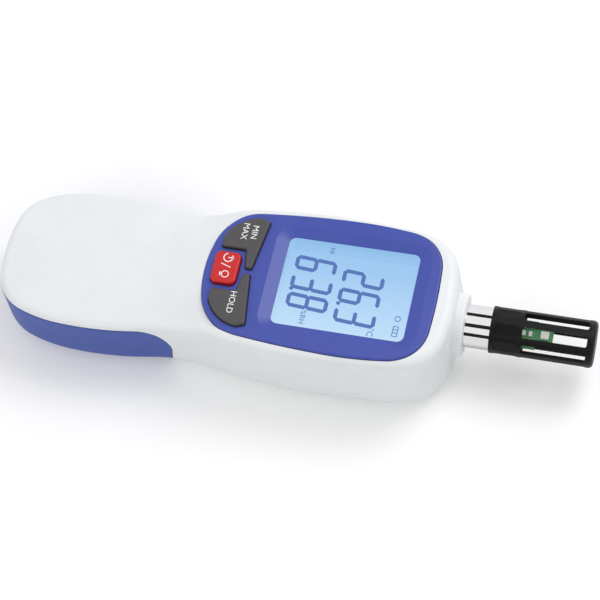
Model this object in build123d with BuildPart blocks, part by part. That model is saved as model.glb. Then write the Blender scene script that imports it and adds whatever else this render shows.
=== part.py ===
from build123d import *
import math
import os

# Handheld thermo-hygrometer, millimetres.
# X runs across the face, Y runs from the handle end to the probe tip, Z comes out of the face.
# The back lies flat on z = 0 and the origin is the middle of the outer box.

# Plan of the housing at its widest level: tangent arcs from the handle end round to the head end
handle_end_y = -113.0
head_end_y = 63.3
plan_points = [(11.6, -112.0), (25.8, -99.9), (29.0, -84.1), (27.2, -51.8), (27.3, -29.1),
               (31.3, 18.6), (30.2, 39.9), (28.0, 50.3), (14.9, 61.7), (0.0, head_end_y)]
widest_z = 13.0
side_draft = 3.0
back_edge_radius = 10.0
face_edge_radius = 3.6

# Height of the face: flat over the head, lower and domed over the handle
head_face_z = 36.4
head_edge_z = 36.1
handle_crown_z = 31.7
handle_edge_z = 29.6
crown_ramp = (-52.0, -28.0)
edge_ramp = (-40.0, -19.0)
handle_end_ramp = (-118.0, -85.0)
handle_end_drop = 1.2
dome_reach = 26.0

# Parting of the three mouldings
wall = 2.4
side_wall = 4.4
floor_wall = 2.6
back_part_z = 8.0
grip_part_z = 27.5
grip_arc_radius = 12.4
grip_arc_centre = (-54.2, 15.1)
grip_foot = [(-42.8, 8.0), (-46.0, 0.0)]
seam_gap = 0.25
tongue_depth = 2.0
tongue_wall = 1.2
fit_gap = 0.2
face_gap = 0.3

# Blue face panel
panel_points = [(11.0, -30.6), (18.0, -27.4), (22.0, -23.6), (24.2, -19.6), (25.3, -14.5), (27.5, 19.4),
                (26.3, 41.4), (24.6, 47.0), (20.5, 51.9), (13.0, 54.7), (0.0, 55.2)]
panel_end_y = -31.8
panel_seat_z = 33.4
panel_top_z = 36.8
panel_edge_radius = 0.6
screen_y = 21.4
window_size = (36.0, 49.4)
window_radius = 2.6
recess_size = (44.0, 59.0)
recess_radius = 7.0
recess_lip = 0.4
window_top_z = 35.0
window_margin = 9.0

# Keys
key_travel = 0.8
key_gap = 0.28
key_flange = 0.55
flange_thickness = 1.0
dark_key_top_z = 38.4
red_key_top_z = 38.8
red_key_size = (13.0, 9.6)
red_key_y = -23.7
red_key_radius = 2.2
key_edge_radius = 0.7
stem_diameter = 5.0
stem_clearance = 1.0
dark_key_half_gap = 1.1
dark_key_inner_x = 8.7
dark_key_stem = (14.6, -19.6)

# Display stack and circuit board
glass_size = (40.5, 53.5)
glass_thickness = 2.6
guide_size = (38.0, 47.4)
guide_thickness = 3.0
frame_wall = 1.8
board_thickness = 1.6
board_top_z = 22.6
board_y = (-33.5, 50.6)
membrane_thickness = 1.0
membrane_size = (45.0, 15.0)
membrane_y = -20.4
strip_size = (36.0, 2.0)
led_size = (1.6, 3.2, 2.4)
led_pitch = 14.0

# Screws and posts
case_post_diameter = 6.8
case_posts_head = (16.5, 54.0)
case_posts_neck = (17.5, -37.6)
case_screw_diameter = 2.6
case_head_diameter = 5.0
case_head_height = 1.8
case_screw_seat_z = 4.6
case_screw_tip_z = 22.0
grip_screw_y = -105.0
grip_post_diameter = 6.0
grip_screw_seat_z = 5.0
grip_screw_tip_z = 24.5
board_post_diameter = 4.0
board_post_end = (0.0, 52.2)
board_post_middle = (0.0, -10.4)
board_posts_neck = (17.5, -31.0)
board_tongue = (20.0, 54.4)
component_height = 1.8
board_screw_diameter = 2.0
board_head_diameter = 3.6
board_head_height = 1.4
board_screw_length = 5.0
screw_gap = 0.1

# Battery bay: three cells side by side along Y
cell_diameter = 10.5
cell_length = 44.5
cell_nub_diameter = 3.8
cell_nub_height = 1.0
cell_pitch = 11.2
cell_z = 8.05
cell_count = 3
spring_length = 4.2
contact_thickness = 0.4
bay_end_y = -49.0
bay_side_gap = 0.6
bay_top_z = 14.3
bay_wall = 1.6
door_thickness = 2.0
door_margin = 1.8
door_gap = 0.25
door_rib_height = 3.0
door_rib_thickness = 0.9
door_groove_count = 5
door_groove_pitch = 2.4
door_groove_width = 1.2
door_groove_depth = 0.6

# Probe
probe_z = 20.0
boss_diameter = 23.4
boss_end_y = 65.5
boss_edge_radius = 1.2
tube_diameter = 16.0
tube_wall = 1.0
tube_start_y = 55.0
tube_insert = 9.0
collar_diameter = 19.0
collar_thickness = 2.0
collar_seat_y = 58.0
guard_start_y = 75.0
guard_end_y = 113.0
guard_diameter = 17.4
guard_bore_gap = 0.05
guard_wall = 1.6
guard_slot_start_y = 86.7
guard_slot_end_y = 110.2
guard_slot_count = 8
guard_slot_width = 4.0
guard_slot_radius = 0.8
guard_rib_depth = 0.3
guard_tip_radius = 1.6
carrier_thickness = 5.0
carrier_gap = 0.05
sensor_board_size = (11.0, 1.2)
sensor_board_y = (62.0, 97.5)
sensor_tip_width = 7.4
sensor_tip_length = 6.0
sensor_chip_size = (3.0, 3.0, 1.0)

# Values that follow from the ones above
board_under_z = board_top_z - board_thickness
panel_floor_z = panel_seat_z - wall + 0.2
glass_top_z = panel_seat_z - face_gap
glass_under_z = glass_top_z - glass_thickness
guide_top_z = glass_under_z - 0.1
guide_under_z = guide_top_z - guide_thickness
window_plate = (window_size[0] + window_margin, window_size[1] + window_margin)
flange_top_z = panel_floor_z - face_gap
flange_under_z = flange_top_z - flange_thickness
stem_end_z = board_top_z + key_travel + 0.1
bay_length = cell_length + spring_length + 2 * contact_thickness
bay_start_y = bay_end_y - bay_length
bay_half_width = cell_pitch + cell_diameter / 2 + bay_side_gap
bay_middle_y = (bay_start_y + bay_end_y) / 2
door_half_width = bay_half_width + door_margin
door_half_length = bay_length / 2 + door_margin
recess_z = door_thickness + 0.2
grip_floor_z = bay_top_z + bay_wall
cavity_half_width = 60.0
far = 200.0


def blend(y, start, end, low, high):
    """A value that eases from low at start to high at end."""
    t = min(max((y - start) / (end - start), 0), 1)
    return low + (high - low) * t * t * (3 - 2 * t)


def crown_z(y):
    drop = blend(y, *handle_end_ramp, -handle_end_drop, 0)
    return blend(y, *crown_ramp, handle_crown_z, head_face_z) + drop


def edge_z(y):
    drop = blend(y, *handle_end_ramp, -handle_end_drop, 0)
    return blend(y, *edge_ramp, handle_edge_z, head_edge_z) + drop


def face_z(x, y):
    """Height of the moulded face over the point (x, y)."""
    return crown_z(y) - (crown_z(y) - edge_z(y)) * (x / dome_reach) ** 2


def arc_outline(start, points):
    """Closed outline from tangent arcs on the right half, mirrored to the left."""
    with BuildSketch() as outline:
        with BuildLine():
            last = start
            heading = (1, 0)
            for point in points:
                arc = TangentArc(last, point, tangent=heading)
                last = point
                heading = arc % 1
            Line(last, start)
        make_face()
        mirror(about=Plane.YZ)
    return outline.sketch


def save(piece, name):
    """Label the finished piece and write it as one STEP file."""
    piece.part.label = name
    export_step(piece.part, f"parts/{name}.step")


os.makedirs("parts", exist_ok=True)
housing_plan = arc_outline((0, handle_end_y), plan_points)
panel_plan = arc_outline((0, panel_end_y), panel_points)

# Outer form of the housing: a drafted upper half cut by the domed face, and a rounded back
dome_steps_x = 9
dome_steps_y = 41
dome_span_x = 90.0
dome_span_y = 200.0
dome_start_y = -125.0
dome_grid = []
for i in range(dome_steps_x):
    x = dome_span_x * (i / (dome_steps_x - 1) - 0.5)
    row = []
    for j in range(dome_steps_y):
        y = dome_start_y + dome_span_y * j / (dome_steps_y - 1)
        row.append(Vector(x, y, face_z(x, y)))
    dome_grid.append(row)
dome_face = Face.make_surface_from_array_of_points(dome_grid, tol=0.01)

with BuildPart() as above_face:
    extrude(dome_face, amount=50, dir=(0, 0, 1))

with BuildPart() as upper_form:
    with BuildSketch(Plane.XY.offset(widest_z)):
        add(housing_plan)
    extrude(amount=head_face_z - widest_z + 1, taper=side_draft)
    add(above_face.part, mode=Mode.SUBTRACT)
    domed = upper_form.faces().filter_by(GeomType.BSPLINE).sort_by(SortBy.AREA)[-1]
    fillet(domed.edges(), face_edge_radius)

with BuildPart() as lower_form:
    with BuildSketch(Plane.XY):
        add(housing_plan)
    extrude(amount=widest_z)
    fillet(lower_form.faces().sort_by(Axis.Z)[0].edges(), back_edge_radius)

with BuildPart() as housing_form:
    add(upper_form.part)
    add(lower_form.part)


def grip_region(grow):
    """Side view of the handle grip moulding, grown outward by a seam gap, as a wide block."""
    with BuildPart() as region:
        with BuildSketch(Plane.YZ):
            with BuildLine():
                arc_y, arc_z = grip_arc_centre
                low_y, low_z = grip_foot[0]
                foot_y, foot_z = grip_foot[1]
                top = Line((-far, grip_part_z + grow), (arc_y, grip_part_z + grow))
                nose = CenterArc((arc_y, arc_z), grip_arc_radius + grow, 90, -90)
                Polyline(nose @ 1, (low_y + grow, low_z), (foot_y + grow, foot_z), (foot_y + grow, -1),
                         (-far, -1), top @ 0)
            make_face()
        extrude(amount=cavity_half_width, both=True)
    return region.part


def inner_block(inset, z_low, z_high, y_low=-far, y_high=far):
    """The housing plan moved inward, as a block between two levels and two stations."""
    with BuildPart() as block:
        with BuildSketch(Plane.XY.offset(z_low)):
            add(housing_plan)
            offset(amount=-inset)
            with Locations((0, (y_low + y_high) / 2)):
                Rectangle(2 * cavity_half_width, y_high - y_low, mode=Mode.INTERSECT)
        extrude(amount=z_high - z_low)
    return block.part


def both_sides(place):
    """The same place on the right and on the left."""
    x, y = place
    return [(x, y), (-x, y)]


case_places = both_sides(case_posts_head) + both_sides(case_posts_neck)
board_places = both_sides(board_posts_neck) + [board_post_end, board_post_middle]


def dark_key_outline(grow=0.0):
    """Plan of the right dark key: a long arm over the red key and a wide rounded pad."""
    with BuildSketch() as outline:
        with BuildLine():
            Line((dark_key_half_gap, -14.2), (21.4, -11.5))
            Line((21.4, -11.5), (22.5, -14.6))
            ThreePointArc((22.5, -14.6), (20.1, -21.6), (13.2, -27.3))
            Polyline((13.2, -27.3), (dark_key_inner_x, -27.3), (dark_key_inner_x, -17.9),
                     (dark_key_half_gap, -16.6), (dark_key_half_gap, -14.2))
        make_face()
        fillet(outline.vertices(), 0.7)
        if grow:
            offset(amount=grow, kind=Kind.ARC)
    return outline.sketch


def red_key_outline(grow=0.0):
    """Plan of the red power key."""
    with BuildSketch() as outline:
        with Locations((0, red_key_y)):
            RectangleRounded(red_key_size[0] + 2 * grow, red_key_size[1] + 2 * grow, red_key_radius + grow)
    return outline.sketch


def key_openings(z_low, z_high):
    """The three key holes as one cutter between two levels."""
    with BuildPart() as holes:
        with BuildSketch(Plane.XY.offset(z_low)):
            add(dark_key_outline(key_gap))
            mirror(about=Plane.YZ)
            add(red_key_outline(key_gap))
        extrude(amount=z_high - z_low)
    return holes.part


def screen_block(size, z_low, z_high, radius=0.5):
    """A rounded block centred on the screen."""
    with BuildPart() as block:
        with BuildSketch(Plane.XY.offset(z_low)):
            with Locations((0, screen_y)):
                RectangleRounded(size[0], size[1], radius)
        extrude(amount=z_high - z_low)
    return block.part


# Probe boss and its bore, shared by the front moulding and the tube
probe_plane = Plane(origin=(0, 0, probe_z), x_dir=(1, 0, 0), z_dir=(0, 1, 0))

with BuildPart() as probe_boss:
    with BuildSketch(probe_plane.offset(collar_seat_y)):
        Circle(boss_diameter / 2)
    extrude(amount=boss_end_y - collar_seat_y)
    fillet(probe_boss.faces().sort_by(Axis.Y)[-1].edges(), boss_edge_radius)

with BuildPart() as probe_bore:
    with BuildSketch(probe_plane.offset(tube_start_y)):
        Circle(tube_diameter / 2 + fit_gap / 2)
    extrude(amount=boss_end_y)

grip_block = grip_region(0)
grip_block_with_gap = grip_region(seam_gap)

# Front moulding: the white face, head sides and neck
with BuildPart() as front_shell:
    add(housing_form.part)
    with BuildSketch(Plane.XY.offset(back_part_z)):
        Rectangle(2 * far, 2 * far)
    extrude(amount=-2 * back_part_z, mode=Mode.SUBTRACT)
    add(grip_block_with_gap, mode=Mode.SUBTRACT)
    add(inner_block(side_wall, back_part_z, grip_part_z, -44, far), mode=Mode.SUBTRACT)
    add(inner_block(side_wall, back_part_z, panel_floor_z, -33, far), mode=Mode.SUBTRACT)
    # posts for the case screws and the board screws
    with BuildSketch(Plane.XY.offset(back_part_z)):
        with Locations(*case_places):
            Circle(case_post_diameter / 2)
    extrude(amount=grip_part_z - back_part_z + 0.5)
    with BuildSketch(Plane.XY.offset(back_part_z)):
        with Locations(*both_sides(case_posts_head)):
            Circle(case_post_diameter / 2)
    extrude(amount=panel_floor_z - back_part_z + 0.5)
    with BuildSketch(Plane.XY.offset(board_top_z)):
        with Locations(*board_places):
            Circle(board_post_diameter / 2)
    extrude(amount=panel_floor_z - board_top_z + 0.5)
    # boss and bore for the probe tube
    add(probe_boss.part)
    add(probe_bore.part, mode=Mode.SUBTRACT)
    # post over the handle end for the grip screw
    with BuildSketch(Plane.XY.offset(grip_floor_z + face_gap)):
        with Locations((0, grip_screw_y)):
            Circle(grip_post_diameter / 2)
    extrude(amount=grip_part_z - grip_floor_z)
    # tongue that enters the grip
    add(inner_block(side_wall + fit_gap, grip_part_z - tongue_depth, grip_part_z + 0.6, -far, -57)
        - inner_block(side_wall + fit_gap + tongue_wall, grip_part_z - tongue_depth, grip_part_z + 0.6, -far, -57))
    # seat for the face panel, opening for the screen and holes for the keys
    with BuildSketch(Plane.XY.offset(panel_seat_z)):
        add(panel_plan)
        offset(amount=seam_gap)
    extrude(amount=10, mode=Mode.SUBTRACT)
    add(screen_block((glass_size[0] + 0.9, glass_size[1] + 0.9), panel_floor_z - 1, panel_seat_z + 1),
        mode=Mode.SUBTRACT)
    add(key_openings(panel_floor_z - 1, panel_seat_z + 1), mode=Mode.SUBTRACT)
    # pilot holes
    with BuildSketch(Plane.XY.offset(back_part_z)):
        with Locations(*case_places):
            Circle(case_screw_diameter / 2 + screw_gap)
    extrude(amount=case_screw_tip_z - back_part_z + 1, mode=Mode.SUBTRACT)
    with BuildSketch(Plane.XY.offset(board_top_z)):
        with Locations(*board_places):
            Circle(board_screw_diameter / 2 + screw_gap)
    extrude(amount=board_screw_length, mode=Mode.SUBTRACT)
    with BuildSketch(Plane.XY.offset(grip_floor_z)):
        with Locations((0, grip_screw_y)):
            Circle(case_screw_diameter / 2 + screw_gap)
    extrude(amount=grip_screw_tip_z - grip_floor_z + 0.5, mode=Mode.SUBTRACT)
save(front_shell, "front_shell")

# Back moulding under the head and neck
with BuildPart() as rear_shell:
    add(housing_form.part)
    with BuildSketch(Plane.XY.offset(back_part_z)):
        Rectangle(2 * far, 2 * far)
    extrude(amount=far, mode=Mode.SUBTRACT)
    add(grip_block_with_gap, mode=Mode.SUBTRACT)
    add(inner_block(side_wall + wall / 2, floor_wall, back_part_z, -40, far), mode=Mode.SUBTRACT)
    with BuildSketch(Plane.XY.offset(floor_wall)):
        with Locations(*case_places):
            Circle(case_post_diameter / 2)
    extrude(amount=back_part_z - floor_wall)
    with BuildSketch(Plane.XY):
        with Locations(*case_places):
            Circle(case_head_diameter / 2 + fit_gap)
    extrude(amount=case_screw_seat_z, mode=Mode.SUBTRACT)
    with BuildSketch(Plane.XY):
        with Locations(*case_places):
            Circle(case_screw_diameter / 2 + 2 * screw_gap)
    extrude(amount=back_part_z, mode=Mode.SUBTRACT)
save(rear_shell, "rear_shell")

# Grip moulding of the handle, with the battery bay
with BuildPart() as handle_grip:
    add(housing_form.part)
    add(grip_block, mode=Mode.INTERSECT)
    add(inner_block(side_wall, grip_floor_z, grip_part_z + 1), mode=Mode.SUBTRACT)
    with BuildSketch(Plane.XY):
        with Locations((0, bay_middle_y)):
            Rectangle(2 * door_half_width, 2 * door_half_length)
    extrude(amount=recess_z, mode=Mode.SUBTRACT)
    with BuildSketch(Plane.XY):
        with Locations((0, bay_middle_y)):
            Rectangle(2 * bay_half_width, bay_length)
    extrude(amount=bay_top_z, mode=Mode.SUBTRACT)
    with BuildSketch(Plane.XY):
        with Locations((0, grip_screw_y)):
            Circle(case_head_diameter / 2 + fit_gap)
    extrude(amount=grip_screw_seat_z, mode=Mode.SUBTRACT)
    with BuildSketch(Plane.XY):
        with Locations((0, grip_screw_y)):
            Circle(case_screw_diameter / 2 + 2 * screw_gap)
    extrude(amount=far, mode=Mode.SUBTRACT)
save(handle_grip, "handle_grip")

# Sliding cover of the battery bay
with BuildPart() as battery_door:
    add(housing_form.part)
    with BuildSketch(Plane.XY):
        with Locations((0, bay_middle_y)):
            Rectangle(2 * (door_half_width - door_gap), 2 * (door_half_length - door_gap))
    extrude(amount=door_thickness, mode=Mode.INTERSECT)
    with BuildSketch(Plane.XY.offset(door_thickness)):
        rib_x = bay_half_width - door_gap - door_rib_thickness / 2
        with Locations((rib_x, bay_middle_y), (-rib_x, bay_middle_y)):
            Rectangle(door_rib_thickness, bay_length - 6)
    extrude(amount=door_rib_height)
    with BuildSketch(Plane.XY):
        with Locations((0, bay_end_y - 8)):
            with GridLocations(0, door_groove_pitch, 1, door_groove_count):
                SlotOverall(16, door_groove_width)
    extrude(amount=door_groove_depth, mode=Mode.SUBTRACT)
save(battery_door, "battery_door")

# Blue face panel with its dished screen recess
with BuildPart() as bezel_panel:
    with BuildSketch(Plane.XY.offset(panel_seat_z)):
        add(panel_plan)
    extrude(amount=panel_top_z - panel_seat_z)
    fillet(bezel_panel.faces().sort_by(Axis.Z)[-1].edges(), panel_edge_radius)
    add(key_openings(panel_seat_z - 1, panel_top_z + 1), mode=Mode.SUBTRACT)
    add(screen_block((window_plate[0] + 0.5, window_plate[1] + 0.5), panel_seat_z - 1, window_top_z, 3.2),
        mode=Mode.SUBTRACT)
    add(screen_block(window_size, panel_seat_z, panel_top_z + 1, window_radius), mode=Mode.SUBTRACT)
    with BuildSketch(Plane.XY.offset(window_top_z + recess_lip)):
        with Locations((0, screen_y)):
            RectangleRounded(*window_size, window_radius)
    with BuildSketch(Plane.XY.offset(panel_top_z + 0.01)):
        with Locations((0, screen_y)):
            RectangleRounded(*recess_size, recess_radius)
    loft(mode=Mode.SUBTRACT)
save(bezel_panel, "bezel_panel")

# Clear window under the panel
with BuildPart() as display_window:
    add(screen_block(window_plate, panel_seat_z, window_top_z, 3.0))
save(display_window, "display_window")

# Liquid crystal glass
with BuildPart() as lcd_glass:
    add(screen_block(glass_size, glass_under_z, glass_top_z, 0.6))
save(lcd_glass, "lcd_glass")

# Light guide behind the glass
with BuildPart() as light_guide:
    add(screen_block(guide_size, guide_under_z, guide_top_z))
save(light_guide, "light_guide")

# Frame that carries glass, guide and contact strip on the board
strip_y = screen_y - glass_size[1] / 2 + strip_size[1] / 2 + face_gap
led_x = guide_size[0] / 2 + face_gap + led_size[0] / 2
frame_outer = (glass_size[0] + 2 * frame_wall, glass_size[1] + 2 * frame_wall)

with BuildPart() as lcd_frame:
    add(screen_block(frame_outer, board_top_z, panel_floor_z - fit_gap, 1.2))
    add(screen_block((glass_size[0] + 2 * fit_gap, glass_size[1] + 2 * fit_gap), glass_under_z, far, 0.7),
        mode=Mode.SUBTRACT)
    add(screen_block((guide_size[0] + 2 * fit_gap, guide_size[1] + 2 * fit_gap), guide_under_z, far),
        mode=Mode.SUBTRACT)
    add(screen_block((guide_size[0] - 4, guide_size[1] - 4), 0, far), mode=Mode.SUBTRACT)
    with BuildSketch(Plane.XY.offset(board_top_z)):
        with Locations((0, strip_y)):
            Rectangle(strip_size[0] + fit_gap, strip_size[1] + fit_gap)
    extrude(amount=glass_under_z - board_top_z, mode=Mode.SUBTRACT)
    with BuildSketch(Plane.XY.offset(guide_under_z)):
        with Locations((led_x, screen_y)):
            with GridLocations(0, led_pitch, 1, 3):
                Rectangle(led_size[0] + fit_gap, led_size[1] + fit_gap)
    extrude(amount=guide_thickness + 0.5, mode=Mode.SUBTRACT)
save(lcd_frame, "lcd_frame")

# Backlight lamps at the edge of the guide
with BuildPart() as backlight_leds:
    with BuildSketch(Plane.XY.offset(guide_under_z)):
        with Locations((led_x, screen_y)):
            with GridLocations(0, led_pitch, 1, 3):
                Rectangle(led_size[0], led_size[1])
    extrude(amount=led_size[2])
save(backlight_leds, "backlight_leds")

# Elastic contact strip between board and glass
with BuildPart() as contact_strip:
    with BuildSketch(Plane.XY.offset(board_top_z)):
        with Locations((0, strip_y)):
            Rectangle(*strip_size)
    extrude(amount=glass_under_z - board_top_z)
save(contact_strip, "contact_strip")

# Main circuit board, following the housing plan
with BuildPart() as main_board:
    add(inner_block(side_wall + 0.9, board_under_z, board_top_z, *board_y))
    with BuildSketch(Plane.XY.offset(board_under_z)):
        with Locations((0, board_tongue[1] / 2)):
            Rectangle(board_tongue[0], board_tongue[1])
    extrude(amount=board_thickness)
    with BuildSketch(Plane.XY.offset(board_under_z)):
        with Locations(*board_places):
            Circle(board_screw_diameter / 2 + 2 * screw_gap)
    extrude(amount=board_thickness, mode=Mode.SUBTRACT)
save(main_board, "main_board")

# Controller chip and smaller parts under the board
with BuildPart() as board_components:
    with BuildSketch(Plane.XY.offset(board_under_z)):
        with Locations((0, 20)):
            Rectangle(12, 12)
        with Locations((-13, 34), (13, 34)):
            Rectangle(6, 4)
        with Locations((-12, 4)):
            Rectangle(5, 9)
        with Locations((12, 2)):
            Circle(3)
        with Locations((0, -20)):
            Rectangle(9, 6)
    extrude(amount=-component_height)
save(board_components, "board_components")

# Rubber key membrane on the board
with BuildPart() as keypad_membrane:
    with BuildSketch(Plane.XY.offset(board_top_z)):
        with Locations((0, membrane_y)):
            RectangleRounded(membrane_size[0], membrane_size[1], 2)
        with Locations(*both_sides(dark_key_stem), (0, red_key_y)):
            Circle(stem_diameter / 2 + stem_clearance, mode=Mode.SUBTRACT)
    extrude(amount=membrane_thickness)
save(keypad_membrane, "keypad_membrane")


def key(outline_at, top_z, stem_place, side=1):
    """A key cap with a flange that stays under the shell floor and a stem over the board."""
    with BuildPart() as body:
        with BuildSketch(Plane.XY.offset(flange_top_z)):
            add(outline_at(0))
        extrude(amount=top_z - flange_top_z)
        fillet(body.faces().sort_by(Axis.Z)[-1].edges(), key_edge_radius)
        with BuildSketch(Plane.XY.offset(flange_under_z)):
            add(outline_at(key_flange))
        extrude(amount=flange_thickness)
        with BuildSketch(Plane.XY.offset(stem_end_z)):
            with Locations(stem_place):
                Circle(stem_diameter / 2)
        extrude(amount=flange_under_z - stem_end_z)
    if side < 0:
        with BuildPart() as turned:
            add(body.part.mirror(Plane.YZ))
        return turned
    return body


power_key = key(red_key_outline, red_key_top_z, (0, red_key_y))
save(power_key, "power_key")
hold_key = key(dark_key_outline, dark_key_top_z, dark_key_stem)
save(hold_key, "hold_key")
min_max_key = key(dark_key_outline, dark_key_top_z, dark_key_stem, side=-1)
save(min_max_key, "min_max_key")

# Chrome probe tube with a collar behind the head wall
with BuildPart() as probe_tube:
    with BuildSketch(probe_plane.offset(tube_start_y)):
        Circle(tube_diameter / 2)
    extrude(amount=guard_start_y + tube_insert - tube_start_y)
    with BuildSketch(probe_plane.offset(collar_seat_y - collar_thickness)):
        Circle(collar_diameter / 2)
    extrude(amount=collar_thickness)
    with BuildSketch(probe_plane.offset(tube_start_y)):
        Circle(tube_diameter / 2 - tube_wall)
    extrude(amount=far, mode=Mode.SUBTRACT)
save(probe_tube, "probe_tube")

# Slotted guard over the sensor
guard_slot_length = guard_slot_end_y - guard_slot_start_y
guard_slot_middle_y = (guard_slot_start_y + guard_slot_end_y) / 2
guard_slot_step = 360 / guard_slot_count

with BuildPart() as guard_slots:
    with BuildSketch(Plane.XY.offset(probe_z)):
        with Locations((0, guard_slot_middle_y)):
            RectangleRounded(guard_slot_width, guard_slot_length, guard_slot_radius)
    extrude(amount=guard_diameter)

with BuildPart() as guard_grooves:
    groove_length = guard_slot_start_y - guard_start_y - 3
    with BuildSketch(Plane.XY.offset(probe_z + guard_diameter / 2 - guard_rib_depth)):
        with Locations((0, guard_start_y + 1.5 + groove_length / 2)):
            RectangleRounded(guard_slot_width, groove_length, guard_slot_radius)
    extrude(amount=guard_diameter)

guard_axis = Axis((0, 0, probe_z), (0, 1, 0))
with BuildPart() as sensor_guard:
    with BuildSketch(probe_plane.offset(guard_start_y)):
        Circle(guard_diameter / 2)
    extrude(amount=guard_end_y - guard_start_y)
    fillet(sensor_guard.faces().sort_by(Axis.Y)[-1].edges(), guard_tip_radius)
    with BuildSketch(probe_plane.offset(guard_start_y)):
        Circle(tube_diameter / 2 + guard_bore_gap)
    extrude(amount=tube_insert + face_gap, mode=Mode.SUBTRACT)
    with BuildSketch(probe_plane.offset(guard_start_y)):
        Circle(guard_diameter / 2 - guard_wall)
    extrude(amount=guard_slot_end_y - guard_start_y, mode=Mode.SUBTRACT)
    for i in range(guard_slot_count):
        angle = guard_slot_step * (i + 0.5)
        add(guard_slots.part.rotate(guard_axis, angle), mode=Mode.SUBTRACT)
        add(guard_grooves.part.rotate(guard_axis, angle), mode=Mode.SUBTRACT)
save(sensor_guard, "sensor_guard")

# Carrier that holds the sensor board in the tube
carrier_y = guard_start_y
with BuildPart() as board_carrier:
    with BuildSketch(probe_plane.offset(carrier_y)):
        Circle(tube_diameter / 2 - tube_wall - carrier_gap)
        Rectangle(sensor_board_size[0] + fit_gap, sensor_board_size[1] + fit_gap, mode=Mode.SUBTRACT)
    extrude(amount=carrier_thickness)
save(board_carrier, "board_carrier")

# Sensor board with a narrower tip
sensor_board_length = sensor_board_y[1] - sensor_board_y[0]
with BuildPart() as sensor_board:
    with BuildSketch(Plane.XY.offset(probe_z - sensor_board_size[1] / 2)):
        with Locations((0, sensor_board_y[0] + (sensor_board_length - sensor_tip_length) / 2)):
            Rectangle(sensor_board_size[0], sensor_board_length - sensor_tip_length)
        with Locations((0, sensor_board_y[1] - sensor_tip_length / 2)):
            Rectangle(sensor_tip_width, sensor_tip_length)
    extrude(amount=sensor_board_size[1])
save(sensor_board, "sensor_board")

board_face_z = probe_z + sensor_board_size[1] / 2
with BuildPart() as sensor_chip:
    with BuildSketch(Plane.XY.offset(board_face_z)):
        with Locations((0, sensor_board_y[1] - sensor_tip_length / 2)):
            Rectangle(sensor_chip_size[0], sensor_chip_size[1])
    extrude(amount=sensor_chip_size[2])
save(sensor_chip, "sensor_chip")

with BuildPart() as sensor_components:
    with BuildSketch(Plane.XY.offset(board_face_z)):
        with Locations((0, 88.0)):
            with GridLocations(3.2, 2.4, 3, 2):
                Rectangle(2.0, 1.2)
    extrude(amount=0.6)
save(sensor_components, "sensor_components")

# Three cells, springs at their flat ends and contact plates at both ends of the bay
contact_y = (bay_start_y, bay_end_y - contact_thickness)
for i in range(cell_count):
    cell_x = cell_pitch * (i - (cell_count - 1) / 2)
    spring_first = i % 2 == 0
    if spring_first:
        flat_y = bay_start_y + contact_thickness + spring_length
        direction = 1
    else:
        flat_y = bay_end_y - contact_thickness - spring_length
        direction = -1
    cell_plane = Plane(origin=(cell_x, flat_y, cell_z), x_dir=(1, 0, 0), z_dir=(0, direction, 0))
    with BuildPart() as cell:
        with BuildSketch(cell_plane):
            Circle(cell_diameter / 2)
        extrude(amount=cell_length - cell_nub_height)
        fillet(cell.edges().filter_by(GeomType.CIRCLE), 0.5)
        with BuildSketch(cell_plane.offset(cell_length - cell_nub_height)):
            Circle(cell_nub_diameter / 2)
        extrude(amount=cell_nub_height)
    save(cell, f"battery_cell_{i + 1}")

with BuildPart() as battery_springs:
    for i in range(cell_count):
        cell_x = cell_pitch * (i - (cell_count - 1) / 2)
        direction = 1 if i % 2 == 0 else -1
        seat_y = bay_start_y + contact_thickness if i % 2 == 0 else bay_end_y - contact_thickness
        with BuildSketch(Plane(origin=(cell_x, seat_y, cell_z), x_dir=(1, 0, 0), z_dir=(0, direction, 0))):
            Circle(2.6)
            Circle(2.0, mode=Mode.SUBTRACT)
        extrude(amount=spring_length)
save(battery_springs, "battery_springs")

with BuildPart() as battery_contacts:
    for y in contact_y:
        for i in range(cell_count):
            cell_x = cell_pitch * (i - (cell_count - 1) / 2)
            with BuildSketch(Plane(origin=(cell_x, y, cell_z), x_dir=(1, 0, 0), z_dir=(0, 1, 0))):
                Rectangle(8.4, 8.0)
            extrude(amount=contact_thickness)
save(battery_contacts, "battery_contacts")


def screws(places, seat_z, tip_z, diameter, head_diameter, head_height):
    """Screws driven upward from the back, heads below the seat level."""
    with BuildPart() as group:
        with BuildSketch(Plane.XY.offset(seat_z)):
            with Locations(*places):
                Circle(head_diameter / 2)
        extrude(amount=-head_height)
        with BuildSketch(Plane.XY.offset(seat_z)):
            with Locations(*places):
                Circle(diameter / 2)
        extrude(amount=tip_z - seat_z)
    return group


case_screws = screws(case_places, case_screw_seat_z, case_screw_tip_z,
                     case_screw_diameter, case_head_diameter, case_head_height)
save(case_screws, "case_screws")
grip_screw = screws([(0, grip_screw_y)], grip_screw_seat_z, grip_screw_tip_z,
                    case_screw_diameter, case_head_diameter, case_head_height)
save(grip_screw, "grip_screw")
board_screws = screws(board_places, board_under_z, board_top_z + board_screw_length - 0.5,
                      board_screw_diameter, board_head_diameter, board_head_height)
save(board_screws, "board_screws")
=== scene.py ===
"""Looks of the handheld thermo-hygrometer: finishes, display characters, key legends and studio."""

import math

import bpy
from mathutils import Matrix, Vector


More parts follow.
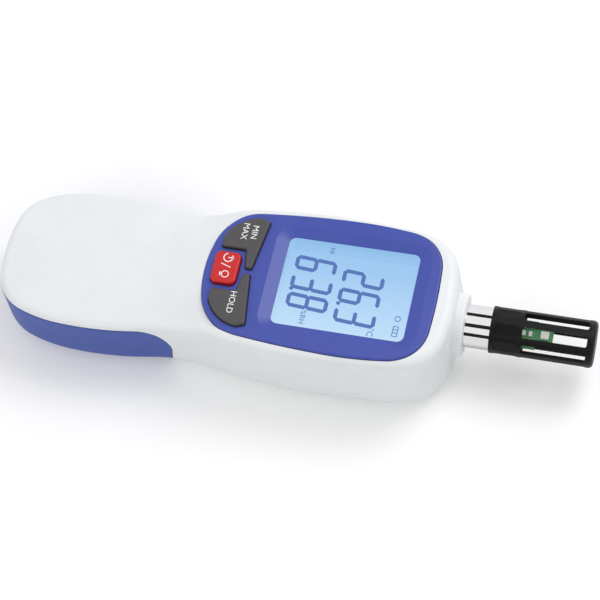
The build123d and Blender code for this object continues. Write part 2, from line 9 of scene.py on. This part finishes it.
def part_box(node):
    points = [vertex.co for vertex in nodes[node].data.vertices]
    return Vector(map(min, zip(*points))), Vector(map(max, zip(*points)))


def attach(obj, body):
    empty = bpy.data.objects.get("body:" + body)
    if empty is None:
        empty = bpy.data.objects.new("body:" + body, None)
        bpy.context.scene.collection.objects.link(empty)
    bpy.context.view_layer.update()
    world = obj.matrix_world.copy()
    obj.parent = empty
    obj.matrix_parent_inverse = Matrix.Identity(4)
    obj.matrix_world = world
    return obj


bl_info = {
    "name": "Thermo-hygrometer",
    "version": (1, 0, 0),
    "blender": (4, 5, 0),
    "location": "View3D > Sidebar > Meter",
    "description": "Dresses the packed meter with its finishes, display and legends",
    "category": "Object",
}

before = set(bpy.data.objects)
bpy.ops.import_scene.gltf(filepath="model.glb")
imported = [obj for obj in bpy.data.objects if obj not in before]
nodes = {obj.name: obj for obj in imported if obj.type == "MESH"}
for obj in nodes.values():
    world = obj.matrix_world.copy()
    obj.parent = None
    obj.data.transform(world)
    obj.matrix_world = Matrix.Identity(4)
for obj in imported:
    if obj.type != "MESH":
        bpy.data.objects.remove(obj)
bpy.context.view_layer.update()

MM = 0.001

# Depth of moulded grain and of the lines on metal, and the strength of the lit display
GRAIN_DEPTH = 0.02 * MM
LINE_DEPTH = 0.01 * MM
DISPLAY_GLOW = 0.95

# Flat shapes: their thickness, and how far they lie proud of the surface that carries them
PROUD = 0.02 * MM
SEGMENT_THICKNESS = 0.05 * MM
LETTER_THICKNESS = 0.04 * MM

# A capital's share of its font size, the quarter turn that lays a bar along X, the steps of round shapes
# and the distance within which their points are merged
CAPITAL_SHARE = 0.70
ACROSS = math.radians(90)
RING_STEPS = 40
DOT_SIDES = 24
MERGE = 0.001 * MM

# A corner of the six-sided prism past this share of its width is the tip of a bar
TIP_SHARE = 0.49

# Large digits: lit segments of each, what a segment's length loses to the gaps and the share of its width
# that it gains at its points, the lean, and the decimal point's place from the last digit in millimetres
SEGMENTS = {"2": "abged", "3": "abgcd", "6": "afgedc", "8": "abcdefg"}
SEGMENT_GAP = 0.5 * MM
SEGMENT_POINT_SHARE = 0.45
DIGIT_LEAN = math.radians(4)
POINT_OFFSET = -1.4

# On the display, in millimetres from the window's middle: readings with the left of each digit and their
# foot, then marks with their height, left and foot. All of these shift a little, because the glass lies
# below the window
GLASS_SHIFT = Vector((-1.75 * MM, -0.7 * MM, 0))
READINGS = [("readings_temperature", "263", (-7.5, 0.2, 8.2), -2.0),
            ("readings_humidity", "638", (-10.5, -2.5, 5.0), -20.5)]
MARKS = [("high_mark", "HI", 1.8, -15.0, -8.7),
         ("unit_celsius", "°C", 2.3, 15.0, 11.5),
         ("unit_humidity", "%RH", 2.0, 11.8, -14.0)]

# Timer and battery signs in the display's upper row, placed in millimetres from the window's middle
SIGN_WEIGHT = 0.3 * MM
SIGN_ROW_Y = 20.8
TIMER_X = 7.9
TIMER_RADIUS = 1.0 * MM
BATTERY_X = 13.0
BATTERY_SIDE_Y = (19.9, 21.7)
BATTERY_LENGTH = 4.2 * MM
BATTERY_BAR_X = (11.0, 12.3, 13.6, 15.0)
BATTERY_BAR_LENGTH = 2.0 * MM

# Words on the dark keys: left end and foot of each, in millimetres
WORDS = [("legend_min", "MIN", -18.7, -17.4, "min_max_key"),
         ("legend_max", "MAX", -19.2, -21.0, "min_max_key"),
         ("legend_hold", "HOLD", 9.3, -19.3, "hold_key")]

# Signs on the red key, from its middle: power sign, slash and lamp sign
POWER_PLACE = Vector((-3.9 * MM, 0.2 * MM, 0))
POWER_RADIUS = 1.7 * MM
POWER_WEIGHT = 0.4 * MM
POWER_OPENING = math.radians(70)
POWER_STROKE_LENGTH = 2.4 * MM
POWER_STROKE_RISE = 1.1 * MM
SLASH_X = -0.6 * MM
SLASH_LENGTH = 4.2 * MM
SLASH_WEIGHT = 0.35 * MM
SLASH_TURN = math.radians(-18)
BULB_PLACE = Vector((3.0 * MM, 0.5 * MM, 0))
BULB_RADIUS = 1.3 * MM
BULB_WEIGHT = 0.35 * MM
SOCKET_DROP = 1.9 * MM
SOCKET_LENGTH = 1.7 * MM
SOCKET_WEIGHT = 0.5 * MM

# Viewpoint, in the CAD model's frame: where the camera stands, its lens and clipping, and the directions of
# its right, up and back
CAMERA_PLACE = Vector((0.29968, 0.14172, 0.64741))
CAMERA_LENS = 113.768
CAMERA_SENSOR = 36.0
CAMERA_CLIP = (0.01, 20.0)
CAMERA_RIGHT = (-0.218934, 0.969448, -0.110631)
CAMERA_UP = (-0.879444, -0.146941, 0.452754)
CAMERA_BACK = (0.422665, 0.196417, 0.884745)

# Studio: a white floor, an even surround, lamps with their place, size and power, and dark cards with
# their angle round the probe in degrees from straight above
FLOOR_SIZE = 6.0
FLOOR_DROP = 0.02 * MM
FLOOR_LIFT = 0.14
SURROUND_STRENGTH = 0.66
LAMPS = [("key_light", (-0.45, 0.35, 0.75), 0.5, 3.6),
         ("fill_light", (0.6, -0.4, 0.5), 0.6, 1.0)]
LAMP_TARGET = Vector((0, 0, 0.02))
CARDS = [("card_right", 72), ("card_top", 22), ("card_left", -38)]
CARD_DISTANCE = 0.16
CARD_LENGTH = 0.2
CARD_WIDTH_SHARE = 0.26


def top_of(name):
    """Height of the highest point of a CAD node."""
    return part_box(name)[1].z


def middle_of(name):
    """Middle of a CAD node's box."""
    low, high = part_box(name)
    return (low + high) / 2


# Sizes and colours that a user would change

class MeterSizes(bpy.types.PropertyGroup):
    """Sizes of the display characters and the key legends."""

    digit_height: bpy.props.FloatProperty(
        name="Digit height", description="Height of the two large readings",
        default=15.8 * MM, subtype="DISTANCE", unit="LENGTH")
    digit_width: bpy.props.FloatProperty(
        name="Digit width", description="Width of one large digit",
        default=6.0 * MM, subtype="DISTANCE", unit="LENGTH")
    segment_width: bpy.props.FloatProperty(
        name="Segment width", description="Width of one segment of a digit",
        default=1.5 * MM, subtype="DISTANCE", unit="LENGTH")
    legend_height: bpy.props.FloatProperty(
        name="Legend height", description="Height of the capitals on the dark keys",
        default=2.3 * MM, subtype="DISTANCE", unit="LENGTH")


class MeterColours(bpy.types.PropertyGroup):
    """Colours of the visible pieces, as sRGB hex values."""

    white_shell: bpy.props.StringProperty(
        name="White housing", description="Colour of the white mouldings", default="#E9ECEE")
    blue_grip: bpy.props.StringProperty(
        name="Blue grip", description="Colour of the handle grip moulding", default="#3D55A6")
    blue_panel: bpy.props.StringProperty(
        name="Blue panel", description="Colour of the face panel", default="#3C4CA6")
    dark_key: bpy.props.StringProperty(
        name="Dark keys", description="Colour of the two rubber keys", default="#484648")
    red_key: bpy.props.StringProperty(
        name="Red key", description="Colour of the power key", default="#C81414")
    screen: bpy.props.StringProperty(
        name="Screen", description="Colour of the lit display", default="#9CC9F2")
    reading: bpy.props.StringProperty(
        name="Reading", description="Colour of the display characters", default="#3F68B4")


def sizes():
    """The size settings of the scene."""
    return bpy.context.scene.meter_sizes


def colours():
    """The colour settings of the scene."""
    return bpy.context.scene.meter_colours


# Material tools

def linear(hex_colour):
    """The linear colour of an sRGB hex value."""
    values = [int(hex_colour[i:i + 2], 16) / 255 for i in (1, 3, 5)]
    rgb = [v / 12.92 if v <= 0.04045 else ((v + 0.055) / 1.055) ** 2.4 for v in values]
    return (*rgb, 1.0)


def new_material(name):
    """A node material with its output and one surface shader."""
    material = bpy.data.materials.new(name)
    material.use_nodes = True
    tree = material.node_tree
    tree.nodes.clear()
    output = tree.nodes.new("ShaderNodeOutputMaterial")
    shader = tree.nodes.new("ShaderNodeBsdfPrincipled")
    tree.links.new(shader.outputs["BSDF"], output.inputs["Surface"])
    return material, tree, shader, output


def node(tree, kind, settings=(), links=()):
    """Adds a node: settings are (name, value) of attributes or inputs, links are (input, output socket)."""
    made = tree.nodes.new(kind)
    for name, value in settings:
        if isinstance(name, str) and hasattr(made, name):
            setattr(made, name, value)
        else:
            made.inputs[name].default_value = value
    for name, socket in links:
        tree.links.new(socket, made.inputs[name])
    return made


def grain(tree, shader, size, strength):
    """Fine moulded grain as bump, with grains of about the given size."""
    place = node(tree, "ShaderNodeTexCoord")
    noise = node(tree, "ShaderNodeTexNoise", [("Scale", 1 / size), ("Detail", 3.0)],
                 [("Vector", place.outputs["Object"])])
    bump = node(tree, "ShaderNodeBump", [("Strength", strength), ("Distance", GRAIN_DEPTH)],
                [("Height", noise.outputs["Fac"])])
    tree.links.new(bump.outputs["Normal"], shader.inputs["Normal"])
    return place


def two_stops(ramp, first, second):
    """Sets the two stops of a colour ramp, each as (position, colour)."""
    for element, (position, colour) in zip(ramp.color_ramp.elements, (first, second)):
        element.position = position
        element.color = colour


def tint(tree, shader, place, colour, size, spread):
    """Very soft variation of the base colour over patches of the given size."""
    noise = node(tree, "ShaderNodeTexNoise", [("Scale", 1 / size), ("Detail", 2.0)],
                 [("Vector", place.outputs["Object"])])
    base = linear(colour)[:3]
    light = (*[min(1.0, c * (1 + spread)) for c in base], 1.0)
    dark = (*[c * (1 - spread) for c in base], 1.0)
    ramp = node(tree, "ShaderNodeValToRGB", [], [("Fac", noise.outputs["Fac"])])
    two_stops(ramp, (0.35, dark), (0.65, light))
    tree.links.new(ramp.outputs["Color"], shader.inputs["Base Color"])


# Finishes, each named for what the real one is

def moulded(name, colour, roughness, strength=0.12, specular=0.5):
    """Injection-moulded plastic or rubber: half-millimetre grain breaks up a soft broad gloss."""
    material, tree, shader, _ = new_material(name)
    shader.inputs["Roughness"].default_value = roughness
    shader.inputs["IOR"].default_value = 1.5
    shader.inputs["Specular IOR Level"].default_value = specular
    place = grain(tree, shader, size=0.5 * MM, strength=strength)
    tint(tree, shader, place, colour, size=12 * MM, spread=0.015)
    return material


def metal(name, colour, roughness, strength=0.02):
    """Plated or bare metal: reflections as sharp as it is smooth, with faint lines across Y."""
    material, tree, shader, _ = new_material(name)
    shader.inputs["Base Color"].default_value = linear(colour)
    shader.inputs["Metallic"].default_value = 1.0
    shader.inputs["Roughness"].default_value = roughness
    place = node(tree, "ShaderNodeTexCoord")
    stretch = node(tree, "ShaderNodeMapping", [("Scale", (1.0, 30.0, 1.0))],
                   [("Vector", place.outputs["Object"])])
    noise = node(tree, "ShaderNodeTexNoise", [("Scale", 1 / (3 * MM)), ("Detail", 3.0)],
                 [("Vector", stretch.outputs["Vector"])])
    bump = node(tree, "ShaderNodeBump", [("Strength", strength), ("Distance", LINE_DEPTH)],
                [("Height", noise.outputs["Fac"])])
    tree.links.new(bump.outputs["Normal"], shader.inputs["Normal"])
    return material


def clear_acrylic(name):
    """Polished clear plastic: passes straight light, and only its outer faces reflect a little."""
    material, tree, shader, output = new_material(name)
    tree.nodes.remove(shader)
    clear = node(tree, "ShaderNodeBsdfTransparent", [("Color", (0.97, 0.985, 1.0, 1.0))])
    gloss = node(tree, "ShaderNodeBsdfGlossy", [("Roughness", 0.03)])
    edge = node(tree, "ShaderNodeFresnel", [("IOR", 1.49)])
    side = node(tree, "ShaderNodeNewGeometry")
    outside = node(tree, "ShaderNodeMath", [("operation", "SUBTRACT"), (0, 1.0)],
                   [(1, side.outputs["Backfacing"])])
    amount = node(tree, "ShaderNodeMath", [("operation", "MULTIPLY")],
                  [(0, edge.outputs["Fac"]), (1, outside.outputs[0])])
    mix = node(tree, "ShaderNodeMixShader", [],
               [(0, amount.outputs[0]), (1, clear.outputs["BSDF"]), (2, gloss.outputs["BSDF"])])
    tree.links.new(mix.outputs["Shader"], output.inputs["Surface"])
    return material


def lit_screen(name, colour):
    """Backlit liquid crystal: an even glow that is palest beside the lamps at the right edge."""
    material, tree, shader, _ = new_material(name)
    low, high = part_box("lcd_glass")
    place = node(tree, "ShaderNodeTexCoord")
    axes = node(tree, "ShaderNodeSeparateXYZ", [], [("Vector", place.outputs["Object"])])
    across = node(tree, "ShaderNodeMapRange",
                  [("From Min", low.x), ("From Max", high.x), ("To Min", 0.0), ("To Max", 1.0)],
                  [("Value", axes.outputs["X"])])
    ramp = node(tree, "ShaderNodeValToRGB", [], [("Fac", across.outputs["Result"])])
    two_stops(ramp, (0.25, linear(colour)), (0.95, linear("#C4E2FB")))
    tree.links.new(ramp.outputs["Color"], shader.inputs["Emission Color"])
    shader.inputs["Base Color"].default_value = linear("#10161C")
    shader.inputs["Roughness"].default_value = 0.5
    shader.inputs["Emission Strength"].default_value = DISPLAY_GLOW
    return material


def driven_segment(name, colour):
    """A driven liquid crystal segment: a flat blue that lets part of the backlight through."""
    material, tree, shader, _ = new_material(name)
    grain(tree, shader, size=0.2 * MM, strength=0.05)
    shader.inputs["Roughness"].default_value = 0.6
    shader.inputs["Base Color"].default_value = linear("#101418")
    shader.inputs["Emission Color"].default_value = linear(colour)
    shader.inputs["Emission Strength"].default_value = DISPLAY_GLOW
    return material


def printed_ink(name, colour):
    """Printed ink: an even matt colour with a faint grain."""
    material, tree, shader, _ = new_material(name)
    shader.inputs["Roughness"].default_value = 0.6
    place = grain(tree, shader, size=0.2 * MM, strength=0.05)
    tint(tree, shader, place, colour, size=2 * MM, spread=0.01)
    return material


def circuit_board(name):
    """Glass-fibre board under green solder mask, with lighter copper tracks showing through."""
    material, tree, shader, _ = new_material(name)
    place = node(tree, "ShaderNodeTexCoord")
    tracks = node(tree, "ShaderNodeTexBrick",
                  [("Scale", 1 / (3.0 * MM)), ("Color1", linear("#1F7A41")), ("Color2", linear("#1C6E3A")),
                   ("Mortar", linear("#3FA463")), ("Mortar Size", 0.035)],
                  [("Vector", place.outputs["Object"])])
    tree.links.new(tracks.outputs["Color"], shader.inputs["Base Color"])
    shader.inputs["Roughness"].default_value = 0.35
    return material


def finish_node(name, material):
    """Gives a CAD node one finish all over."""
    mesh = nodes[name].data
    mesh.materials.clear()
    mesh.materials.append(material)


# Modelling tools

def start_fresh():
    """Object mode with nothing selected."""
    if bpy.context.object and bpy.context.object.mode != "OBJECT":
        bpy.ops.object.mode_set(mode="OBJECT")
    bpy.ops.object.select_all(action="DESELECT")


def settle(piece, name, body, material):
    """Names a piece, applies its place, gives its finish and lets it ride on its body."""
    piece.name = name
    bpy.ops.object.select_all(action="DESELECT")
    piece.select_set(True)
    bpy.context.view_layer.objects.active = piece
    bpy.ops.object.transform_apply(location=True, rotation=True, scale=True)
    piece.data.materials.clear()
    piece.data.materials.append(material)
    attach(piece, body)


def put(piece, place, turn):
    """Turns a flat piece about Z, moves it to its place and applies both."""
    piece.matrix_world = Matrix.Translation(place) @ Matrix.Rotation(turn, 4, "Z")
    bpy.ops.object.transform_apply(location=True, rotation=True, scale=True)
    return piece


def join_as_one(parts):
    """Joins the parts into the first and returns it."""
    bpy.ops.object.select_all(action="DESELECT")
    for part in parts:
        part.select_set(True)
    bpy.context.view_layer.objects.active = parts[0]
    bpy.ops.object.join()
    return parts[0]


def bar(length, width, place, turn=0.0):
    """A flat bar with pointed ends, from a six-sided prism drawn out along Y."""
    start_fresh()
    bpy.ops.mesh.primitive_cylinder_add(vertices=6, radius=width / 2, depth=SEGMENT_THICKNESS,
                                        location=(0, 0, 0))
    piece = bpy.context.object
    half = (length - width) / 2
    for vertex in piece.data.vertices:
        x, y, _ = vertex.co
        is_tip = abs(y) > width * TIP_SHARE
        vertex.co.x = 0 if is_tip else math.copysign(width / 2, x)
        vertex.co.y = math.copysign(half + width / 2 if is_tip else half, y)
    return put(piece, place, turn)


def digit(character, left, bottom, z):
    """The lit segments of one character, as separate bars."""
    s = sizes()
    weight = s.segment_width
    across = s.digit_width - weight
    upright = s.digit_height / 2 - weight / 2
    left_x = left + weight / 2
    right_x = left + s.digit_width - weight / 2
    centre_x = left + s.digit_width / 2
    middle = bottom + s.digit_height / 2
    places = {
        "a": (across, centre_x, bottom + s.digit_height - weight / 2, ACROSS),
        "d": (across, centre_x, bottom + weight / 2, ACROSS),
        "g": (across, centre_x, middle, ACROSS),
        "b": (upright, right_x, middle + upright / 2, 0.0),
        "c": (upright, right_x, middle - upright / 2, 0.0),
        "f": (upright, left_x, middle + upright / 2, 0.0),
        "e": (upright, left_x, middle - upright / 2, 0.0),
    }
    bars = []
    for key in SEGMENTS[character]:
        length, x, y, turn = places[key]
        lit = length + weight * SEGMENT_POINT_SHARE - SEGMENT_GAP
        bars.append(bar(lit, weight, Vector((x, y, z)), turn))
    return bars


def dot(diameter, place):
    """A flat round dot."""
    start_fresh()
    bpy.ops.mesh.primitive_cylinder_add(vertices=DOT_SIDES, radius=diameter / 2, depth=SEGMENT_THICKNESS,
                                        location=place)
    return bpy.context.object


def lean(piece, bottom):
    """Leans a flat piece to the right about the line at bottom."""
    for vertex in piece.data.vertices:
        vertex.co.x += (vertex.co.y - bottom) * math.tan(DIGIT_LEAN)


def letters(text, height, left, bottom, z):
    """Flat capitals as a mesh, with their lower left corner at the given place."""
    start_fresh()
    bpy.ops.object.text_add(location=(0, 0, 0))
    made = bpy.context.object
    made.data.body = text
    made.data.size = height / CAPITAL_SHARE
    made.data.extrude = LETTER_THICKNESS / 2
    bpy.ops.object.convert(target="MESH")
    made = bpy.context.object
    low_x = min(v.co.x for v in made.data.vertices)
    low_y = min(v.co.y for v in made.data.vertices)
    for vertex in made.data.vertices:
        vertex.co.x += left - low_x
        vertex.co.y += bottom - low_y
        vertex.co.z += z
    return made


def ring(radius, weight, place, opening=0.0):
    """A flat ring, open at the top by the given angle: a short line spun about Z and thickened."""
    start_fresh()
    bpy.ops.mesh.primitive_plane_add(size=1, location=(0, 0, 0))
    made = bpy.context.object
    for vertex in made.data.vertices:
        vertex.co = (radius + math.copysign(weight / 2, vertex.co.x), 0, 0)
    bpy.ops.object.mode_set(mode="EDIT")
    bpy.ops.mesh.select_all(action="SELECT")
    bpy.ops.mesh.remove_doubles(threshold=MERGE)
    bpy.ops.mesh.spin(steps=RING_STEPS, angle=2 * math.pi - opening, center=(0, 0, 0), axis=(0, 0, 1))
    bpy.ops.mesh.select_all(action="SELECT")
    bpy.ops.mesh.remove_doubles(threshold=MERGE)
    bpy.ops.mesh.normals_make_consistent(inside=False)
    bpy.ops.object.mode_set(mode="OBJECT")
    solid = made.modifiers.new("thick", "SOLIDIFY")
    solid.thickness = SEGMENT_THICKNESS
    solid.offset = 0
    bpy.ops.object.modifier_apply(modifier=solid.name)
    return put(made, place, math.pi / 2 + opening / 2)


# Operators, one for each piece or group of like pieces

class METER_OT_finishes(bpy.types.Operator):
    """Gives every modelled piece of the meter its finish"""

    bl_idname = "meter.finishes"
    bl_label = "Finishes"

    def execute(self, context):
        c = colours()
        # Mouldings: satin white and blue that break a lamp into a soft patch, the panel a little tighter
        white = moulded("fine grained white ABS", c.white_shell, 0.42)
        blue = moulded("fine grained blue ABS", c.blue_grip, 0.45)
        panel = moulded("satin blue ABS panel", c.blue_panel, 0.38, strength=0.05)
        # Rubber keys: the dark pair nearly matt, the red one with a wide soft sheen
        key_dark = moulded("dark silicone rubber key", c.dark_key, 0.55, strength=0.08)
        key_red = moulded("red silicone rubber key", c.red_key, 0.4, strength=0.05)
        # Guard: deep black whose edges barely catch the light
        guard = moulded("black ABS guard", "#0A0A0C", 0.42, strength=0.05, specular=0.2)
        # Inside pieces: plain plastics, rubber and a green board, told apart by shade
        inner_white = moulded("white ABS frame", "#DCDDDD", 0.5)
        black = moulded("black epoxy", "#151515", 0.5)
        rubber = moulded("grey silicone rubber", "#3A3A3A", 0.7)
        ceramic = moulded("white sensor package", "#E6E4DC", 0.5)
        guide = moulded("milky acrylic", "#C7DDF2", 0.3)
        board = circuit_board("green circuit board")
        # Metals: a mirror on the probe tube, and duller steel with faint lines on springs, screws and cells
        chrome = metal("polished chrome plate", "#E8E8EA", 0.06)
        steel = metal("zinc plated steel", "#B9BABC", 0.28, strength=0.12)
        can = metal("plain steel cell can", "#A9ABAE", 0.3, strength=0.12)
        # Window and display: clear with a faint sheen, over a pale blue glow
        acrylic = clear_acrylic("polished clear acrylic")
        screen = lit_screen("backlit liquid crystal", c.screen)
        finishes = {
            "front_shell": white, "rear_shell": white, "handle_grip": blue, "battery_door": blue,
            "bezel_panel": panel, "display_window": acrylic, "lcd_frame": inner_white, "lcd_glass": screen,
            "light_guide": guide, "backlight_leds": ceramic, "contact_strip": rubber, "main_board": board,
            "board_components": black, "keypad_membrane": rubber, "power_key": key_red,
            "min_max_key": key_dark, "hold_key": key_dark, "probe_tube": chrome, "sensor_guard": guard,
            "board_carrier": black, "sensor_board": board, "sensor_chip": ceramic,
            "sensor_components": ceramic, "battery_springs": steel, "battery_contacts": steel,
            "case_screws": steel, "grip_screw": steel, "board_screws": steel,
            "battery_cell_1": can, "battery_cell_2": can, "battery_cell_3": can,
        }
        for name in nodes:
            finish_node(name, finishes[name])
        return {"FINISHED"}


class METER_OT_readings(bpy.types.Operator):
    """Models the characters that the display shows"""

    bl_idname = "meter.readings"
    bl_label = "Readings"

    def execute(self, context):
        ink = driven_segment("driven display segment", colours().reading)
        weight = sizes().segment_width
        z = top_of("lcd_glass") + PROUD
        centre = middle_of("display_window")
        for name, text, lefts, low in READINGS:
            bottom = centre.y + low * MM + GLASS_SHIFT.y
            parts = []
            for character, left in zip(text, lefts):
                parts += digit(character, centre.x + left * MM + GLASS_SHIFT.x, bottom, z)
            point_x = centre.x + (lefts[2] + POINT_OFFSET) * MM + GLASS_SHIFT.x
            parts.append(dot(weight, (point_x, bottom + weight / 2, z)))
            made = join_as_one(parts)
            lean(made, bottom)
            settle(made, name, "housing", ink)

        def spot(x, y):
            """A place on the glass, in millimetres from the window's middle."""
            return Vector((centre.x + x * MM, centre.y + y * MM, z))

        timer = ring(TIMER_RADIUS, SIGN_WEIGHT, spot(TIMER_X, SIGN_ROW_Y))
        settle(timer, "timer_mark", "housing", ink)
        cell = [bar(BATTERY_LENGTH, SIGN_WEIGHT, spot(BATTERY_X, y), ACROSS) for y in BATTERY_SIDE_Y]
        cell += [bar(BATTERY_BAR_LENGTH, SIGN_WEIGHT, spot(x, SIGN_ROW_Y)) for x in BATTERY_BAR_X]
        settle(join_as_one(cell), "battery_mark", "housing", ink)
        for name, text, height, left, low in MARKS:
            left_x = centre.x + left * MM + GLASS_SHIFT.x
            foot = centre.y + low * MM + GLASS_SHIFT.y
            made = letters(text, height * MM, left_x, foot, z)
            settle(made, name, "housing", ink)
        return {"FINISHED"}


class METER_OT_legends(bpy.types.Operator):
    """Prints the legends on the keys"""

    bl_idname = "meter.legends"
    bl_label = "Key legends"

    def execute(self, context):
        ink = printed_ink("white key ink", "#F2F2F2")
        dark_z = top_of("hold_key") + PROUD
        for name, text, left, low, body in WORDS:
            made = letters(text, sizes().legend_height, left * MM, low * MM, dark_z)
            settle(made, name, body, ink)

        centre = middle_of("power_key")
        red_z = top_of("power_key") + PROUD
        power = centre + POWER_PLACE
        bulb = centre + BULB_PLACE
        stroke_y = power.y + POWER_STROKE_RISE
        socket_y = bulb.y - SOCKET_DROP
        signs = [
            ring(POWER_RADIUS, POWER_WEIGHT, Vector((power.x, power.y, red_z)), POWER_OPENING),
            bar(POWER_STROKE_LENGTH, POWER_WEIGHT, Vector((power.x, stroke_y, red_z))),
            bar(SLASH_LENGTH, SLASH_WEIGHT, Vector((centre.x + SLASH_X, centre.y, red_z)), SLASH_TURN),
            ring(BULB_RADIUS, BULB_WEIGHT, Vector((bulb.x, bulb.y, red_z))),
            bar(SOCKET_LENGTH, SOCKET_WEIGHT, Vector((bulb.x, socket_y, red_z)), ACROSS),
        ]
        settle(join_as_one(signs), "legend_power", "power_key", ink)
        return {"FINISHED"}


# Studio

def add_floor():
    """White floor that keeps the meter's shadow and looks a little paler to the camera."""
    start_fresh()
    bpy.ops.mesh.primitive_plane_add(size=FLOOR_SIZE, location=(0, 0, -FLOOR_DROP))
    floor = bpy.context.object
    floor.name = "studio_floor"
    material, tree, shader, output = new_material("white studio floor")
    shader.inputs["Base Color"].default_value = (0.9, 0.9, 0.9, 1)
    shader.inputs["Roughness"].default_value = 0.9
    rays = node(tree, "ShaderNodeLightPath")
    lift = node(tree, "ShaderNodeMath", [("operation", "MULTIPLY"), (1, FLOOR_LIFT)],
                [(0, rays.outputs["Is Camera Ray"])])
    glow = node(tree, "ShaderNodeEmission", [("Color", (1, 1, 1, 1))], [("Strength", lift.outputs[0])])
    both = node(tree, "ShaderNodeAddShader", [],
                [(0, shader.outputs["BSDF"]), (1, glow.outputs["Emission"])])
    tree.links.new(both.outputs["Shader"], output.inputs["Surface"])
    floor.data.materials.append(material)


def add_surround(scene):
    """Even white surround: plain white to the camera and in reflections, softer as light."""
    world = bpy.data.worlds.new("studio")
    scene.world = world
    world.use_nodes = True
    tree = world.node_tree
    tree.nodes.clear()
    output = node(tree, "ShaderNodeOutputWorld")
    rays = node(tree, "ShaderNodeLightPath")
    seen = node(tree, "ShaderNodeMath", [("operation", "MAXIMUM")],
                [(0, rays.outputs["Is Camera Ray"]), (1, rays.outputs["Is Glossy Ray"])])
    ambient = node(tree, "ShaderNodeBackground", [("Color", (1, 1, 1, 1)), ("Strength", SURROUND_STRENGTH)])
    white = node(tree, "ShaderNodeBackground", [("Color", (1, 1, 1, 1)), ("Strength", 1.0)])
    mix = node(tree, "ShaderNodeMixShader", [],
               [(0, seen.outputs[0]), (1, ambient.outputs[0]), (2, white.outputs[0])])
    tree.links.new(mix.outputs[0], output.inputs["Surface"])


def add_cards():
    """Dark cards round the probe that only reflections show: they band the polished tube."""
    material, _, shader, _ = new_material("black studio card")
    shader.inputs["Base Color"].default_value = (0.01, 0.01, 0.01, 1)
    shader.inputs["Roughness"].default_value = 1.0
    tube = middle_of("probe_tube")
    for name, degrees in CARDS:
        turn = math.radians(degrees)
        place = tube + Vector((math.sin(turn), 0, math.cos(turn))) * CARD_DISTANCE
        start_fresh()
        bpy.ops.mesh.primitive_plane_add(size=CARD_LENGTH, location=place, rotation=(0, turn, 0))
        card = bpy.context.object
        card.name = name
        card.scale = (CARD_WIDTH_SHARE, 1.0, 1.0)
        card.data.materials.append(material)
        card.visible_camera = False
        card.visible_diffuse = False
        card.visible_shadow = False


def add_lamps(scene):
    """Two soft square lamps aimed at the meter."""
    for name, place, size, power in LAMPS:
        lamp = bpy.data.lights.new(name, "AREA")
        lamp.shape = "SQUARE"
        lamp.size = size
        lamp.energy = power
        stand = bpy.data.objects.new(name, lamp)
        scene.collection.objects.link(stand)
        stand.location = place
        stand.rotation_euler = (LAMP_TARGET - Vector(place)).to_track_quat("-Z", "Y").to_euler()


def add_camera(scene):
    """The camera at the viewpoint given above."""
    camera = bpy.data.cameras.new("camera")
    camera.sensor_width = CAMERA_SENSOR
    camera.lens = CAMERA_LENS
    camera.clip_start, camera.clip_end = CAMERA_CLIP
    stand = bpy.data.objects.new("camera", camera)
    scene.collection.objects.link(stand)
    turn = Matrix((CAMERA_RIGHT, CAMERA_UP, CAMERA_BACK)).transposed().to_4x4()
    stand.matrix_world = Matrix.Translation(CAMERA_PLACE) @ turn
    scene.camera = stand


class METER_OT_stage(bpy.types.Operator):
    """Sets the floor, the soft studio light and the camera"""

    bl_idname = "meter.stage"
    bl_label = "Stage"

    def execute(self, context):
        add_floor()
        add_surround(context.scene)
        add_cards()
        add_lamps(context.scene)
        add_camera(context.scene)
        context.scene.view_settings.view_transform = "Standard"
        return {"FINISHED"}


class METER_PT_panel(bpy.types.Panel):
    """Lists the steps that dress the meter"""

    bl_idname = "METER_PT_panel"
    bl_label = "Meter"
    bl_space_type = "VIEW_3D"
    bl_region_type = "UI"
    bl_category = "Meter"

    def draw(self, context):
        for operator in OPERATORS:
            self.layout.operator(operator.bl_idname)


OPERATORS = (METER_OT_finishes, METER_OT_readings, METER_OT_legends, METER_OT_stage)
CLASSES = (MeterSizes, MeterColours, *OPERATORS, METER_PT_panel)


def register():
    """Registers the classes and the scene's settings."""
    for item in CLASSES:
        bpy.utils.register_class(item)
    bpy.types.Scene.meter_sizes = bpy.props.PointerProperty(type=MeterSizes)
    bpy.types.Scene.meter_colours = bpy.props.PointerProperty(type=MeterColours)


def unregister():
    """Takes the scene's settings and the classes away again."""
    del bpy.types.Scene.meter_colours
    del bpy.types.Scene.meter_sizes
    for item in reversed(CLASSES):
        bpy.utils.unregister_class(item)


def main():
    """Dresses the meter."""
    register()
    bpy.ops.meter.finishes()
    bpy.ops.meter.readings()
    bpy.ops.meter.legends()
    bpy.ops.meter.stage()


if __name__ == "__main__":
    main()
